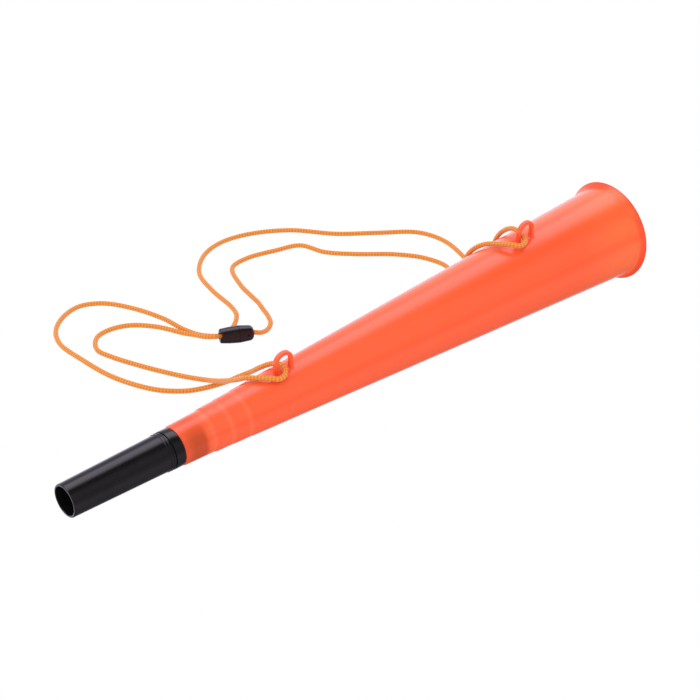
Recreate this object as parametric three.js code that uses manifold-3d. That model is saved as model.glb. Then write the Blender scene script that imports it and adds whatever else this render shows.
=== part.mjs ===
import * as THREE from "three";
import { mergeVertices } from "three/addons/utils/BufferGeometryUtils.js";
import Module from "manifold-3d";

const wasm = await Module();
wasm.setup();

// Sizes are in millimetres. "At" names a place along the axis, counted from the player's end of the
// horn, or from the middle of the clasp.
const clearance = 0.3;
const edge = 0.3;

// The orange horn.
const hornLength = 385;
const neckAt = 66.6;
const neckRadius = 10.95;
const coneEndAt = 380.9;
const coneEndRadius = 27.1;
const rimRadius = 30;
const rimEdge = 0.7;
const wall = 1.5;
const firstStepAt = 87;
const stepPitch = 11.2;
const stepCount = 3;
const ringTaperShare = 0.5;
const socketDepth = 15;
const socketRadius = 9.6;

// The two eyelets, moulded in one with the horn.
const eyeletsAt = [137.1, 311.9];
const eyeletWidth = 12.2;
const eyeletHeight = 12.8;
const eyeletBar = 2.25;
const eyeletThickness = 2.8;
const eyeletRoot = 0.8;
const eyeletBevel = 0.4;
const eyeletRoll = -7.5;

// The black mouthpiece: a tube, the holder behind it and the reed inside.
const tipRadius = 9.1;
const tipEdge = 0.7;
const tubeEndRadius = 10.1;
const tipBore = 7.8;
const ridgesAt = [57.9, 59.6];
const ridgeWidth = 0.7;
const ridgeHeight = 0.35;
const collarLength = 5.3;
const collarRadius = 10.5;
const nippleLength = 11;
const nippleRadius = 8.45;
const reedSeatRadius = 6.6;
const shoulderRadius = 5.2;
const shoulderLength = 2;
const spigotBore = 7.6;

const shallotLength = 34.7;
const shallotBaseLength = 9.7;
const troughRadius = 5;
const channelRadius = 3.4;
const troughEnd = 2;
const pocketRadius = 4.9;
const tongueLength = 31;
const tongueWidth = 7.6;
const tongueThickness = 0.35;
const tongueLift = 1.5;
const wedgeLength = 10.9;

// The clasp lies on the ground behind the horn.
const claspPlace = [-24, 80.4];
const claspTurn = -27.5;
const claspLength = 19.7;
const claspSeamRadius = 4.95;
const claspSocketEndRadius = 4.2;
const claspPlugEndRadius = 4.45;
const socketHalfLength = 11.1;
const claspEdge = 0.25;
const claspMouthEdge = 1.3;
const cordHoleRadius = 1.75;
const knotBore = 2.85;
const knotChamberLength = 5.3;
const studRadius = 2.55;
const studLength = 4;
const claspEndWall = 2;
const domeLength = 3;
const slotLength = 2.4;
const slotTurn = 56;
const dimpleAt = 6.3;
const dimpleTurn = 80;
const dimpleRadius = 0.7;
const dimpleDepth = 0.3;

// The neck cord, as points along its middle in the order that it runs.
const cordRadius = 1.4;
const knotRadius = 2.3;
const nearRoute = [
  [-34.9, 86.3, 4.9], [-37.5, 90.7, 3.9], [-39.5, 98.9, 2.4], [-42.4, 106.7, 1.4], [-49.4, 122, 1.4],
  [-59.6, 132.8, 1.4], [-70.7, 136.2, 1.4], [-81.6, 133.7, 1.4], [-89.6, 122, 1.4], [-87.9, 110.3, 1.4],
  [-80.2, 88.7, 1.4], [-71.5, 68.5, 1.8], [-67.8, 53.5, 4.8], [-68.8, 37.7, 11.5], [-72.2, 19.1, 22],
  [-74.8, 5.9, 30.2], [-71.9, 0, 31.6], [-66.6, -5.6, 31.7], [-64.4, -7.1, 31.2], [-61.7, -7.4, 31.2],
  [-59.2, -6.6, 31.7], [-57.5, -4.8, 32.4], [-57, -3.4, 33], [-56.8, -2.7, 33.3],
];
const betweenRoute = [
  [-56.8, -2.4, 33.4], [-56.7, -1.3, 33.8], [-57.1, 1.4, 33.9], [-57.5, 5.1, 32.6], [-58, 9.3, 30.2],
  [-58.2, 13.7, 27.1], [-57.8, 18.6, 23.4], [-55.9, 26.8, 17], [-57.9, 34.4, 11.5], [-61.6, 41.1, 6.6],
  [-69.3, 49.2, 2.2], [-79.4, 55.1, 1.4], [-90, 66.1, 1.4], [-99.6, 90.6, 1.4], [-102.2, 120.1, 1.4],
  [-101.6, 141, 1.4], [-94.5, 155.8, 1.4], [-81.4, 166.6, 1.4], [-68.2, 170.1, 1.4], [-56.4, 164.2, 1.4],
  [-46.7, 148, 1.4], [-40.6, 126.6, 1.4], [-39.2, 109, 1.4], [-35.8, 97.7, 1.4], [-28.9, 90.4, 1.4],
  [-23.5, 88.7, 1.4], [-17.7, 90.6, 1.4], [-9.7, 99.9, 1.4], [-2.6, 112.8, 1.4], [1.1, 135.5, 1.4],
  [8.2, 157.3, 1.4], [25, 174.4, 1.4], [43.4, 180.9, 1.4], [63.3, 178.3, 1.4], [85, 166.1, 1.4],
  [103.4, 143.8, 1.4], [123.9, 127.9, 1.4], [142.6, 112.7, 1.4], [147.4, 94.6, 1.4], [141.4, 68.9, 1.5],
  [129.5, 41, 2.6], [123.6, 31.6, 12], [121.6, 27.4, 25], [121.1, 23.4, 37.6], [120, 19.3, 43.6],
  [118.6, 14.7, 47.9], [117.3, 9.6, 51.6], [116.4, 5, 53.6], [115.8, 0.9, 54], [115.5, -2.5, 52.6],
  [115.4, -3.6, 52.4],
];
const farRoute = [
  [115.4, -4, 52.3], [115.3, -4.7, 52.2], [114.7, -6.2, 51.8], [113, -8, 51.4], [110.5, -9, 51.1],
  [107.8, -8.6, 51], [105.2, -6.8, 51.5], [103.5, -4, 51.5], [101.2, 1.8, 50.3], [99.3, 8.9, 48.2],
  [97.9, 15.4, 44], [97.4, 20.6, 38.3], [97.2, 24.2, 31], [98.6, 30.2, 11], [102, 37.6, 3],
  [111, 51, 1.4], [125.1, 66.7, 1.4], [123, 84.1, 1.4], [113, 99.2, 1.4], [95, 115.3, 1.4],
  [82.4, 129.6, 1.4], [76.7, 146.2, 1.4], [61.4, 150.7, 1.4], [41.7, 154.1, 1.4], [27.8, 150.4, 1.4],
  [17.7, 129.7, 1.4], [11, 102, 1.4], [4.6, 86.8, 1.4], [-5.3, 75.9, 2.9], [-11.7, 74.7, 4.7],
];

const hornSides = 48;
const tubeSides = 36;
const claspSides = 28;

const orange = new THREE.MeshStandardMaterial({ name: "orange plastic", color: 0xff5f38, roughness: 0.3 });
const black = new THREE.MeshStandardMaterial({ name: "black plastic", color: 0x1b191a, roughness: 0.35 });
const glossBlack = new THREE.MeshStandardMaterial({ name: "gloss black plastic", color: 0x141314, roughness: 0.2 });
const reedPlastic = new THREE.MeshStandardMaterial({ name: "reed plastic", color: 0xe8e4da, roughness: 0.5 });
const cordFabric = new THREE.MeshStandardMaterial({ name: "orange cord", color: 0xf58f35, roughness: 0.9 });

// The horn lies on a flat of its rim and a flat of its mouthpiece, so its axis tilts a little.
const flatShare = Math.cos(Math.PI / hornSides);
const tipFlatShare = Math.cos(Math.PI / tubeSides);
const rimAt = hornLength - rimEdge;
const tilt = Math.atan2(rimRadius * flatShare - tipRadius * tipFlatShare, rimAt - tipEdge);
const tipHeight = tipRadius * tipFlatShare * Math.cos(tilt) - tipEdge * Math.sin(tilt);
const rimReach = hornLength * Math.cos(tilt) + (rimRadius - edge) * flatShare * Math.sin(tilt);
const tipReach = (tipRadius - tipEdge) * tipFlatShare * Math.sin(tilt);

function solidFrom(geometry) {
  const bare = geometry.clone();
  bare.deleteAttribute("normal");
  bare.deleteAttribute("uv");
  const merged = mergeVertices(bare, edge / 1000);
  const mesh = new wasm.Mesh({
    numProp: 3,
    vertProperties: Float32Array.from(merged.attributes.position.array),
    triVerts: Uint32Array.from(merged.index.array),
  });
  return new wasm.Manifold(mesh);
}

function geometryFrom(solid) {
  const mesh = solid.getMesh();
  const geometry = new THREE.BufferGeometry();
  geometry.setAttribute("position", new THREE.BufferAttribute(Float32Array.from(mesh.vertProperties), 3));
  geometry.setIndex(Array.from(mesh.triVerts));
  geometry.computeVertexNormals();
  return geometry;
}

function meshOf(name, geometry, material) {
  const mesh = new THREE.Mesh(geometry, material);
  mesh.name = name;
  return mesh;
}

// Turns an outline of [place along X, radius] about the X axis, with a flat underneath. The outline
// starts and ends on the axis, or is closed here.
function turned(outline, sides) {
  const points = outline.map(([at, radius]) => new THREE.Vector2(radius, at));
  if (points[0].x > 0) {
    points.push(points[0].clone());
  }
  const geometry = new THREE.LatheGeometry(points, sides, Math.PI / sides);
  geometry.rotateZ(-Math.PI / 2);
  return geometry;
}

// A solid rod along X from one place to another.
function rod(fromAt, toAt, radius, sides) {
  return turned([[fromAt, 0], [fromAt, radius], [toAt, radius], [toAt, 0]], sides);
}

// A half rod along X, above or below a level plane.
function halfRod(fromAt, toAt, radius, level, upper) {
  const span = toAt - fromAt;
  const box = new THREE.BoxGeometry(span * 2, radius * 3, radius * 2);
  box.translate((fromAt + toAt) / 2, 0, level + (upper ? radius : -radius));
  return solidFrom(rod(fromAt, toAt, radius, tubeSides)).intersect(solidFrom(box));
}

function coneRadius(at) {
  const share = (at - neckAt) / (coneEndAt - neckAt);
  return neckRadius + (coneEndRadius - neckRadius) * share;
}

function flareRadius(at) {
  const share = (at - coneEndAt) / (rimAt - coneEndAt);
  return coneRadius(at) + (rimRadius - coneRadius(rimAt)) * share ** 1.5;
}

// The neck is made of rings that taper less than the cone, and the cone runs smoothly on from the last.
function hornOutside() {
  const outline = [];
  let ringStart = neckAt;
  for (let step = 0; step < stepCount; step += 1) {
    const ringEnd = firstStepAt + stepPitch * step;
    const radius = coneRadius(ringStart);
    const widened = (coneRadius(ringEnd) - radius) * ringTaperShare;
    const start = step === 0 ? [[ringStart, radius - edge], [ringStart + edge, radius]] : [[ringStart, radius]];
    outline.push(...start, [ringEnd, radius + widened]);
    ringStart = ringEnd;
  }
  outline.push([ringStart, coneRadius(ringStart)], [coneEndAt, coneEndRadius]);
  const flareSteps = 5;
  for (let step = 1; step <= flareSteps; step += 1) {
    const at = coneEndAt + ((rimAt - coneEndAt) * step) / flareSteps;
    outline.push([at, flareRadius(at)]);
  }
  outline.push([hornLength, rimRadius - edge]);
  return outline;
}

function hornInside() {
  const outline = [[hornLength, rimRadius - wall - edge / 2], [rimAt, rimRadius - wall - edge]];
  const flareSteps = 3;
  for (let step = flareSteps - 1; step >= 0; step -= 1) {
    const at = coneEndAt + ((rimAt - coneEndAt) * step) / flareSteps;
    outline.push([at, flareRadius(at) - wall]);
  }
  const socketEnd = neckAt + socketDepth;
  const boreStart = socketEnd + wall;
  outline.push([boreStart, coneRadius(boreStart) - wall - edge]);
  outline.push([socketEnd, socketRadius], [neckAt + edge, socketRadius], [neckAt, socketRadius + edge]);
  return outline;
}

// An arch with straight legs that stands on the cone and reaches a little way into its wall.
function eyelet(at) {
  const half = eyeletWidth / 2;
  const holeHalf = half - eyeletBar;
  const spring = eyeletHeight - half;
  const shape = new THREE.Shape();
  shape.moveTo(-half, -eyeletRoot);
  shape.lineTo(-half, spring);
  shape.absarc(0, spring, half, Math.PI, 0, true);
  shape.lineTo(half, -eyeletRoot);
  shape.lineTo(holeHalf, -eyeletRoot);
  shape.lineTo(holeHalf, spring);
  shape.absarc(0, spring, holeHalf, 0, Math.PI, false);
  shape.lineTo(-holeHalf, -eyeletRoot);
  shape.closePath();
  const geometry = new THREE.ExtrudeGeometry(shape, {
    depth: eyeletThickness - eyeletBevel * 2,
    curveSegments: 10,
    bevelThickness: eyeletBevel,
    bevelSize: eyeletBevel,
    bevelOffset: -eyeletBevel,
    bevelSegments: 2,
  });
  geometry.translate(0, 0, eyeletBevel - eyeletThickness / 2);
  geometry.rotateX(Math.PI / 2);
  geometry.rotateY(-Math.atan2(coneEndRadius - neckRadius, coneEndAt - neckAt));
  geometry.translate(at, 0, coneRadius(at));
  geometry.rotateX(-THREE.MathUtils.degToRad(eyeletRoll));
  return solidFrom(geometry);
}

function hornCone() {
  let solid = solidFrom(turned([...hornOutside(), ...hornInside()], hornSides));
  for (const at of eyeletsAt) {
    solid = solid.add(eyelet(at));
  }
  return meshOf("horn_cone", geometryFrom(solid), orange);
}

const collarEnd = neckAt - clearance;
const collarStart = collarEnd - collarLength;
const tubeEnd = collarStart - clearance;
const nippleStart = collarStart - nippleLength;

function tubeRadius(at) {
  return tipRadius + ((tubeEndRadius - tipRadius) * (at - tipEdge)) / (tubeEnd - tipEdge);
}

function mouthpieceTube() {
  const outline = [[0, tipRadius - tipEdge], [tipEdge / 4, tipRadius - tipEdge / 2], [tipEdge, tipRadius]];
  for (const at of ridgesAt) {
    const start = at - ridgeWidth / 2;
    const end = at + ridgeWidth / 2;
    const top = tubeRadius(at) + ridgeHeight;
    outline.push([start, tubeRadius(start)], [start + ridgeWidth / 4, top]);
    outline.push([end - ridgeWidth / 4, top], [end, tubeRadius(end)]);
  }
  const seat = nippleRadius + clearance;
  outline.push([tubeEnd - edge, tubeEndRadius], [tubeEnd, tubeEndRadius - edge]);
  outline.push([tubeEnd, seat], [nippleStart, seat], [edge, tipBore], [0, tipBore + edge / 2]);
  return meshOf("mouthpiece_tube", turned(outline, tubeSides), black);
}

// The holder's nipple goes up into the tube and its spigot down into the neck.
const reedSeatEnd = collarStart + 1;
const shoulderEnd = reedSeatEnd + shoulderLength;

function reedHolder() {
  const spigotEnd = neckAt + socketDepth - clearance * 3;
  const spigotRadius = socketRadius - clearance;
  const outline = [
    [nippleStart + edge, nippleRadius - edge], [nippleStart + edge * 2, nippleRadius],
    [collarStart, nippleRadius], [collarStart, collarRadius - edge], [collarStart + edge, collarRadius],
    [collarEnd - edge, collarRadius], [collarEnd, collarRadius - edge],
    [collarEnd, spigotRadius], [spigotEnd - edge, spigotRadius], [spigotEnd, spigotRadius - edge],
    [spigotEnd, spigotBore], [shoulderEnd, spigotBore], [shoulderEnd, shoulderRadius],
    [reedSeatEnd, shoulderRadius], [reedSeatEnd, reedSeatRadius], [nippleStart + edge, reedSeatRadius],
  ];
  return meshOf("reed_holder", turned(outline, tubeSides), black);
}

// The trough is open on top along its whole length, and closed at the player's end.
const reedEnd = reedSeatEnd - clearance;
const shallotStart = reedEnd - shallotLength;
const shallotBaseStart = reedEnd - shallotBaseLength;

function reedShallot() {
  const past = troughRadius;
  const base = solidFrom(rod(shallotBaseStart, reedEnd, reedSeatRadius - clearance, tubeSides));
  const trough = halfRod(shallotStart, shallotBaseStart + edge, troughRadius, 0, false);
  const channel = halfRod(shallotStart + troughEnd, reedEnd + past, channelRadius, 0, false);
  const pocket = halfRod(shallotBaseStart - past, reedEnd + past, pocketRadius, 0, true);
  const solid = base.subtract(pocket).add(trough).subtract(channel);
  return meshOf("reed_shallot", geometryFrom(solid), black);
}

// The reed lies flat under its wedge and curls up from the trough toward the player.
const tongueFlatStart = shallotBaseStart - clearance * 5;

function reedTongue() {
  const tongueEnd = reedEnd - clearance * 2;
  const tongueStart = tongueEnd - tongueLength;
  const steps = 8;
  const lower = [];
  const upper = [];
  for (let step = 0; step <= steps; step += 1) {
    const share = step / steps;
    const at = tongueStart + (tongueFlatStart - tongueStart) * share;
    const height = clearance + tongueLift * (1 - share) ** 2;
    lower.push(new THREE.Vector2(at, height));
    upper.unshift(new THREE.Vector2(at, height + tongueThickness));
  }
  lower.push(new THREE.Vector2(tongueEnd, clearance));
  upper.unshift(new THREE.Vector2(tongueEnd, clearance + tongueThickness));
  const shape = new THREE.Shape([...lower, ...upper]);
  const geometry = new THREE.ExtrudeGeometry(shape, { depth: tongueWidth, bevelEnabled: false });
  geometry.translate(0, 0, -tongueWidth / 2);
  geometry.rotateX(Math.PI / 2);
  return meshOf("reed_tongue", geometry, reedPlastic);
}

function reedWedge() {
  const end = reedEnd - clearance;
  const level = clearance * 2 + tongueThickness;
  const solid = halfRod(end - wedgeLength, end, pocketRadius - clearance, level, true);
  return meshOf("reed_wedge", geometryFrom(solid), black);
}

const claspEnd = claspLength / 2;
const seamAt = socketHalfLength - claspEnd;
const plugAt = seamAt + clearance;
const socketFloorAt = -claspEnd + claspEndWall;
const plugChamberEnd = claspEnd - claspEndWall;

// The left half holds the cord's knot behind a small hole, and takes the stud from the other side.
function claspSocketHalf() {
  const outline = [
    [-claspEnd, claspSocketEndRadius - claspMouthEdge],
    [-claspEnd + claspMouthEdge / 4, claspSocketEndRadius - claspMouthEdge / 3],
    [-claspEnd + claspMouthEdge, claspSocketEndRadius],
    [(-claspEnd + seamAt) / 2, (claspSocketEndRadius + claspSeamRadius * 2) / 3],
    [seamAt - claspEdge, claspSeamRadius],
    [seamAt, claspSeamRadius - claspEdge],
    [seamAt, knotBore],
    [socketFloorAt, knotBore],
    [socketFloorAt, cordHoleRadius],
    [-claspEnd, cordHoleRadius],
  ];
  const body = solidFrom(turned(outline, claspSides));
  const slot = solidFrom(rod(0, claspSeamRadius * 2, cordHoleRadius, claspSides));
  const upright = slot.rotate([0, -90, 0]).translate([slotLength - cordHoleRadius - claspEnd, 0, 0]);
  const opening = wasm.Manifold.hull([upright, upright.translate([-slotLength * 2, 0, 0])]);
  const solid = body.subtract(opening.rotate([slotTurn, 0, 0]));
  return meshOf("clasp_socket_half", geometryFrom(solid), glossBlack);
}

// The right half has the stud, a chamber for the cord's other knot and a domed end.
function claspPlugHalf() {
  const outline = [[plugAt - studLength, 0], [plugAt - studLength, studRadius - edge]];
  outline.push([plugAt - studLength + edge, studRadius]);
  outline.push([plugAt, studRadius], [plugAt, claspSeamRadius - claspEdge]);
  outline.push([plugAt + claspEdge, claspSeamRadius], [claspEnd - domeLength, claspPlugEndRadius]);
  const domeSteps = 4;
  for (let step = 1; step <= domeSteps; step += 1) {
    const turn = ((Math.PI / 2) * step) / (domeSteps + 1);
    const radius = cordHoleRadius + (claspPlugEndRadius - cordHoleRadius) * Math.cos(turn);
    outline.push([claspEnd - domeLength + domeLength * Math.sin(turn), radius]);
  }
  outline.push([claspEnd, cordHoleRadius], [plugChamberEnd, cordHoleRadius], [plugChamberEnd, knotBore]);
  outline.push([plugChamberEnd - knotChamberLength, knotBore], [plugChamberEnd - knotChamberLength, 0]);
  const dimple = solidFrom(rod(claspPlugEndRadius - dimpleDepth, claspSeamRadius * 2, dimpleRadius, claspSides));
  const upright = dimple.rotate([0, -90, 0]).rotate([dimpleTurn, 0, 0]).translate([dimpleAt, 0, 0]);
  const solid = solidFrom(turned(outline, claspSides)).subtract(upright);
  return meshOf("clasp_plug_half", geometryFrom(solid), glossBlack);
}

const claspHeight = claspSeamRadius * Math.cos(Math.PI / claspSides);
const claspAngle = THREE.MathUtils.degToRad(claspTurn);

function claspPoint(at) {
  return [claspPlace[0] + at * Math.cos(claspAngle), claspPlace[1] + at * Math.sin(claspAngle), claspHeight];
}

// A tube that takes one step from each point of its route to the next.
class Route extends THREE.CatmullRomCurve3 {
  getUtoTmapping(share) {
    return share;
  }
}

function cordTube(points) {
  const route = new Route(points.map((point) => new THREE.Vector3(...point)), false, "centripetal");
  const sides = 8;
  const corners = [];
  for (let side = 0; side < sides; side += 1) {
    const turn = (Math.PI * 2 * side) / sides;
    corners.push(new THREE.Vector2(Math.cos(turn) * cordRadius, Math.sin(turn) * cordRadius));
  }
  const settings = { steps: points.length - 1, extrudePath: route, bevelEnabled: false };
  return new THREE.ExtrudeGeometry(new THREE.Shape(corners), settings);
}

function knottedCord(name, points, knot) {
  const ball = new THREE.SphereGeometry(knotRadius, 12, 8);
  ball.translate(...knot);
  return meshOf(name, geometryFrom(solidFrom(cordTube(points)).add(solidFrom(ball))), cordFabric);
}

function cords() {
  const socketKnot = claspPoint(socketFloorAt + clearance + knotRadius);
  const plugKnot = claspPoint(plugChamberEnd - clearance - knotRadius);
  return [
    knottedCord("cord_near", [socketKnot, claspPoint(-claspEnd), ...nearRoute], socketKnot),
    meshOf("cord_between", cordTube(betweenRoute), cordFabric),
    knottedCord("cord_far", [...farRoute, claspPoint(claspEnd), plugKnot], plugKnot),
  ];
}

const instrument = new THREE.Group();
instrument.position.set((tipReach - rimReach) / 2, 0, tipHeight);
instrument.rotation.y = -tilt;
instrument.add(hornCone(), mouthpieceTube(), reedHolder(), reedShallot(), reedTongue(), reedWedge());

const clasp = new THREE.Group();
clasp.position.set(...claspPoint(0));
clasp.rotation.z = claspAngle;
clasp.add(claspSocketHalf(), claspPlugHalf());

const vuvuzela = new THREE.Group();
vuvuzela.name = "vuvuzela";
vuvuzela.add(instrument, ...cords(), clasp);

export default vuvuzela;
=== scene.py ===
import math

import bpy
from mathutils import Matrix, Vector


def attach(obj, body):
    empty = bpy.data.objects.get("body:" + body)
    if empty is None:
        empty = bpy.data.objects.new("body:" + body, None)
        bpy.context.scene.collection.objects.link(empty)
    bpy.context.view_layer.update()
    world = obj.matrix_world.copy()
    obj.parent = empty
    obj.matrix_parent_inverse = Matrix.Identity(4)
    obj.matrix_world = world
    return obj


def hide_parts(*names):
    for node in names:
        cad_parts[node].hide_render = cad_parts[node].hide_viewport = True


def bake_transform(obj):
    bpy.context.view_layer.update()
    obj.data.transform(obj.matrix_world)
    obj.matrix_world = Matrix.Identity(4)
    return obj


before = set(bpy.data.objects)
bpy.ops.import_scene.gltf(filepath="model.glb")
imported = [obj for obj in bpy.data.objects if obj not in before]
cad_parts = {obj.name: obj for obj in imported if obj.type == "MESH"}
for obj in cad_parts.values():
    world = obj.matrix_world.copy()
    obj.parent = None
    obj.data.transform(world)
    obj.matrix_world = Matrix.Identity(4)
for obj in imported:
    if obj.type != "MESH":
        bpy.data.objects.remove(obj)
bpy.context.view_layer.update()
scene = bpy.context.scene
scene.view_settings.view_transform = "Standard"

# Sizes are in metres and turns in degrees, unless a note says otherwise.

# Camera, fitted to the photo round the middle of the horn.
camera = {
    "azimuth": -40.78,
    "elevation": 30.15,
    "distance": 1.099,
    "lens": 105.2,
    "clipStart": 0.05,
    "aimHeight": 0.02,
    "aimRight": -0.007,
    "aimUp": 0.0009,
}


def makeCamera():
    azimuth = math.radians(camera["azimuth"])
    elevation = math.radians(camera["elevation"])
    right = Vector((math.cos(azimuth), math.sin(azimuth), 0))
    level = Vector((math.sin(azimuth), -math.cos(azimuth), 0))
    back = level * math.cos(elevation) + Vector((0, 0, math.sin(elevation)))
    up = back.cross(right)
    aim = Vector((0, 0, camera["aimHeight"])) + right * camera["aimRight"] + up * camera["aimUp"]
    data = bpy.data.cameras.new("camera")
    data.lens = camera["lens"]
    data.clip_start = camera["clipStart"]
    thing = bpy.data.objects.new("camera", data)
    scene.collection.objects.link(thing)
    turn = Matrix((right, up, back)).transposed().to_4x4()
    thing.matrix_world = Matrix.Translation(aim + back * camera["distance"]) @ turn
    scene.camera = thing


makeCamera()
print("camera done")


# Small tools for meshes.
mergeDistance = 0.000001


def meshObject(name, points, faces):
    data = bpy.data.meshes.new(name)
    data.from_pydata([tuple(point) for point in points], [], faces)
    data.validate()
    data.shade_smooth()
    thing = bpy.data.objects.new(name, data)
    scene.collection.objects.link(thing)
    return thing


def applied(thing, kind, **settings):
    modifier = thing.modifiers.new(kind.lower(), kind)
    for key, value in settings.items():
        setattr(modifier, key, value)
    bpy.context.view_layer.objects.active = thing
    bpy.ops.object.modifier_apply(modifier=modifier.name)


# Puts a piece in its place, with the place in its mesh.
def placed(thing, place):
    thing.matrix_world = place
    bpy.ops.object.transform_apply(location=True, rotation=True, scale=True)
    return thing


def combined(thing, other, operation):
    applied(thing, "BOOLEAN", operation=operation, object=other, solver="EXACT")
    bpy.data.objects.remove(other)


def sharpOver(thing, degrees):
    thing.data.shade_smooth()
    thing.data.set_sharp_from_angle(angle=math.radians(degrees))


def quarterTurn(steps):
    return [math.pi / 2 * step / steps for step in range(steps + 1)]


# Rounds the corners of a closed outline of (place, radius) pairs, but for those that hardly turn.
def rounded(outline, size):
    steps = 3
    largestShare = 0.45
    nearlyStraight = math.radians(168)
    result = []
    for index, point in enumerate(outline):
        here = Vector(point)
        before = Vector(outline[index - 1]) - here
        after = Vector(outline[(index + 1) % len(outline)]) - here
        if before.angle(after) > nearlyStraight:
            result.append(here)
            continue
        cut = min(size, before.length * largestShare, after.length * largestShare)
        start = here + before.normalized() * cut
        end = here + after.normalized() * cut
        for step in range(steps + 1):
            share = step / steps
            result.append(start.lerp(here, share).lerp(here.lerp(end, share), share))
    return result


# Draws an outline of (place, radius) pairs corner by corner, and spins it about its X axis.
def turned(name, outline, sides, place):
    bpy.ops.mesh.primitive_plane_add(size=0.001, location=(0, 0, 0))
    thing = bpy.context.object
    thing.name = name
    bpy.ops.object.mode_set(mode="EDIT")
    bpy.ops.mesh.merge(type="CENTER")
    corners = [Vector((at, 0, radius)) for at, radius in outline]
    bpy.ops.transform.translate(value=corners[0])
    for corner, following in zip(corners, corners[1:] + corners[:1]):
        bpy.ops.mesh.extrude_region_move(TRANSFORM_OT_translate={"value": following - corner})
    bpy.ops.mesh.select_all(action="SELECT")
    bpy.ops.mesh.spin(steps=sides, angle=math.tau, center=(0, 0, 0), axis=(1, 0, 0))
    bpy.ops.mesh.select_all(action="SELECT")
    bpy.ops.mesh.remove_doubles(threshold=mergeDistance)
    bpy.ops.mesh.normals_make_consistent(inside=False)
    bpy.ops.object.mode_set(mode="OBJECT")
    return placed(thing, place)


# The neck cord, and its routes in the order that it runs.
cord = {
    "diameter": 0.0028,
    "step": 0.00045,
    "sides": 32,
    "strands": 4,
    "pitch": 0.0144,
    "depth": 0.055,
    "pathStep": 8,
    "knotRadius": 0.0023,
    "knotSpread": 0.23,
    "knotThread": 0.6,
    "knotSides": 12,
    "knotSteps": 160,
}
nearRoute = [
    (-0.0349, 0.0863, 0.0049), (-0.0375, 0.0907, 0.0039), (-0.0395, 0.0989, 0.0024),
    (-0.0424, 0.1067, 0.0014), (-0.0494, 0.122, 0.0014), (-0.0596, 0.1328, 0.0014),
    (-0.0707, 0.1362, 0.0014), (-0.0816, 0.1337, 0.0014), (-0.0896, 0.122, 0.0014),
    (-0.0879, 0.1103, 0.0014), (-0.0802, 0.0887, 0.0014), (-0.0715, 0.0685, 0.0018),
    (-0.0678, 0.0535, 0.0048), (-0.0688, 0.0377, 0.0115), (-0.0722, 0.0191, 0.022),
    (-0.0748, 0.0059, 0.0302), (-0.0719, 0, 0.0316), (-0.0666, -0.0056, 0.0317),
    (-0.0644, -0.0071, 0.0312), (-0.0617, -0.0074, 0.0312), (-0.0592, -0.0066, 0.0317),
    (-0.0575, -0.0048, 0.0324), (-0.057, -0.0034, 0.033), (-0.0568, -0.0027, 0.0333),
]
betweenRoute = [
    (-0.0568, -0.0024, 0.0334), (-0.0567, -0.0013, 0.0338), (-0.0571, 0.0014, 0.0339),
    (-0.0575, 0.0051, 0.0326), (-0.058, 0.0093, 0.0302), (-0.0582, 0.0137, 0.0271),
    (-0.0578, 0.0186, 0.0234), (-0.0559, 0.0268, 0.017), (-0.0579, 0.0344, 0.0115),
    (-0.0616, 0.0411, 0.0066), (-0.0693, 0.0492, 0.0022), (-0.0794, 0.0551, 0.0014),
    (-0.09, 0.0661, 0.0014), (-0.0996, 0.0906, 0.0014), (-0.1022, 0.1201, 0.0014),
    (-0.1016, 0.141, 0.0014), (-0.0945, 0.1558, 0.0014), (-0.0814, 0.1666, 0.0014),
    (-0.0682, 0.1701, 0.0014), (-0.0564, 0.1642, 0.0014), (-0.0467, 0.148, 0.0014),
    (-0.0406, 0.1266, 0.0014), (-0.0392, 0.109, 0.0014), (-0.0358, 0.0977, 0.0014),
    (-0.0294, 0.0908, 0.0014), (-0.0246, 0.0897, 0.0014), (-0.0172, 0.0928, 0.0014),
    (-0.0094, 0.0992, 0.0014), (-0.0055, 0.1044, 0.0014), (-0.0026, 0.1128, 0.0014),
    (0.0011, 0.1355, 0.0014), (0.0082, 0.1573, 0.0014), (0.025, 0.1744, 0.0014),
    (0.0434, 0.1809, 0.0014), (0.0633, 0.1783, 0.0014), (0.085, 0.1661, 0.0014),
    (0.1034, 0.1438, 0.0014), (0.1239, 0.1279, 0.0014), (0.1426, 0.1127, 0.0014),
    (0.1474, 0.0946, 0.0014), (0.1414, 0.0689, 0.0015), (0.1295, 0.041, 0.0026),
    (0.1236, 0.0316, 0.012), (0.1216, 0.0274, 0.025), (0.1211, 0.0234, 0.0376),
    (0.12, 0.0193, 0.0436), (0.1186, 0.0147, 0.0479), (0.1173, 0.0096, 0.0516),
    (0.1164, 0.005, 0.0536), (0.1158, 0.0009, 0.054), (0.1155, -0.0025, 0.0526),
    (0.1154, -0.0036, 0.0524),
]
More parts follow.
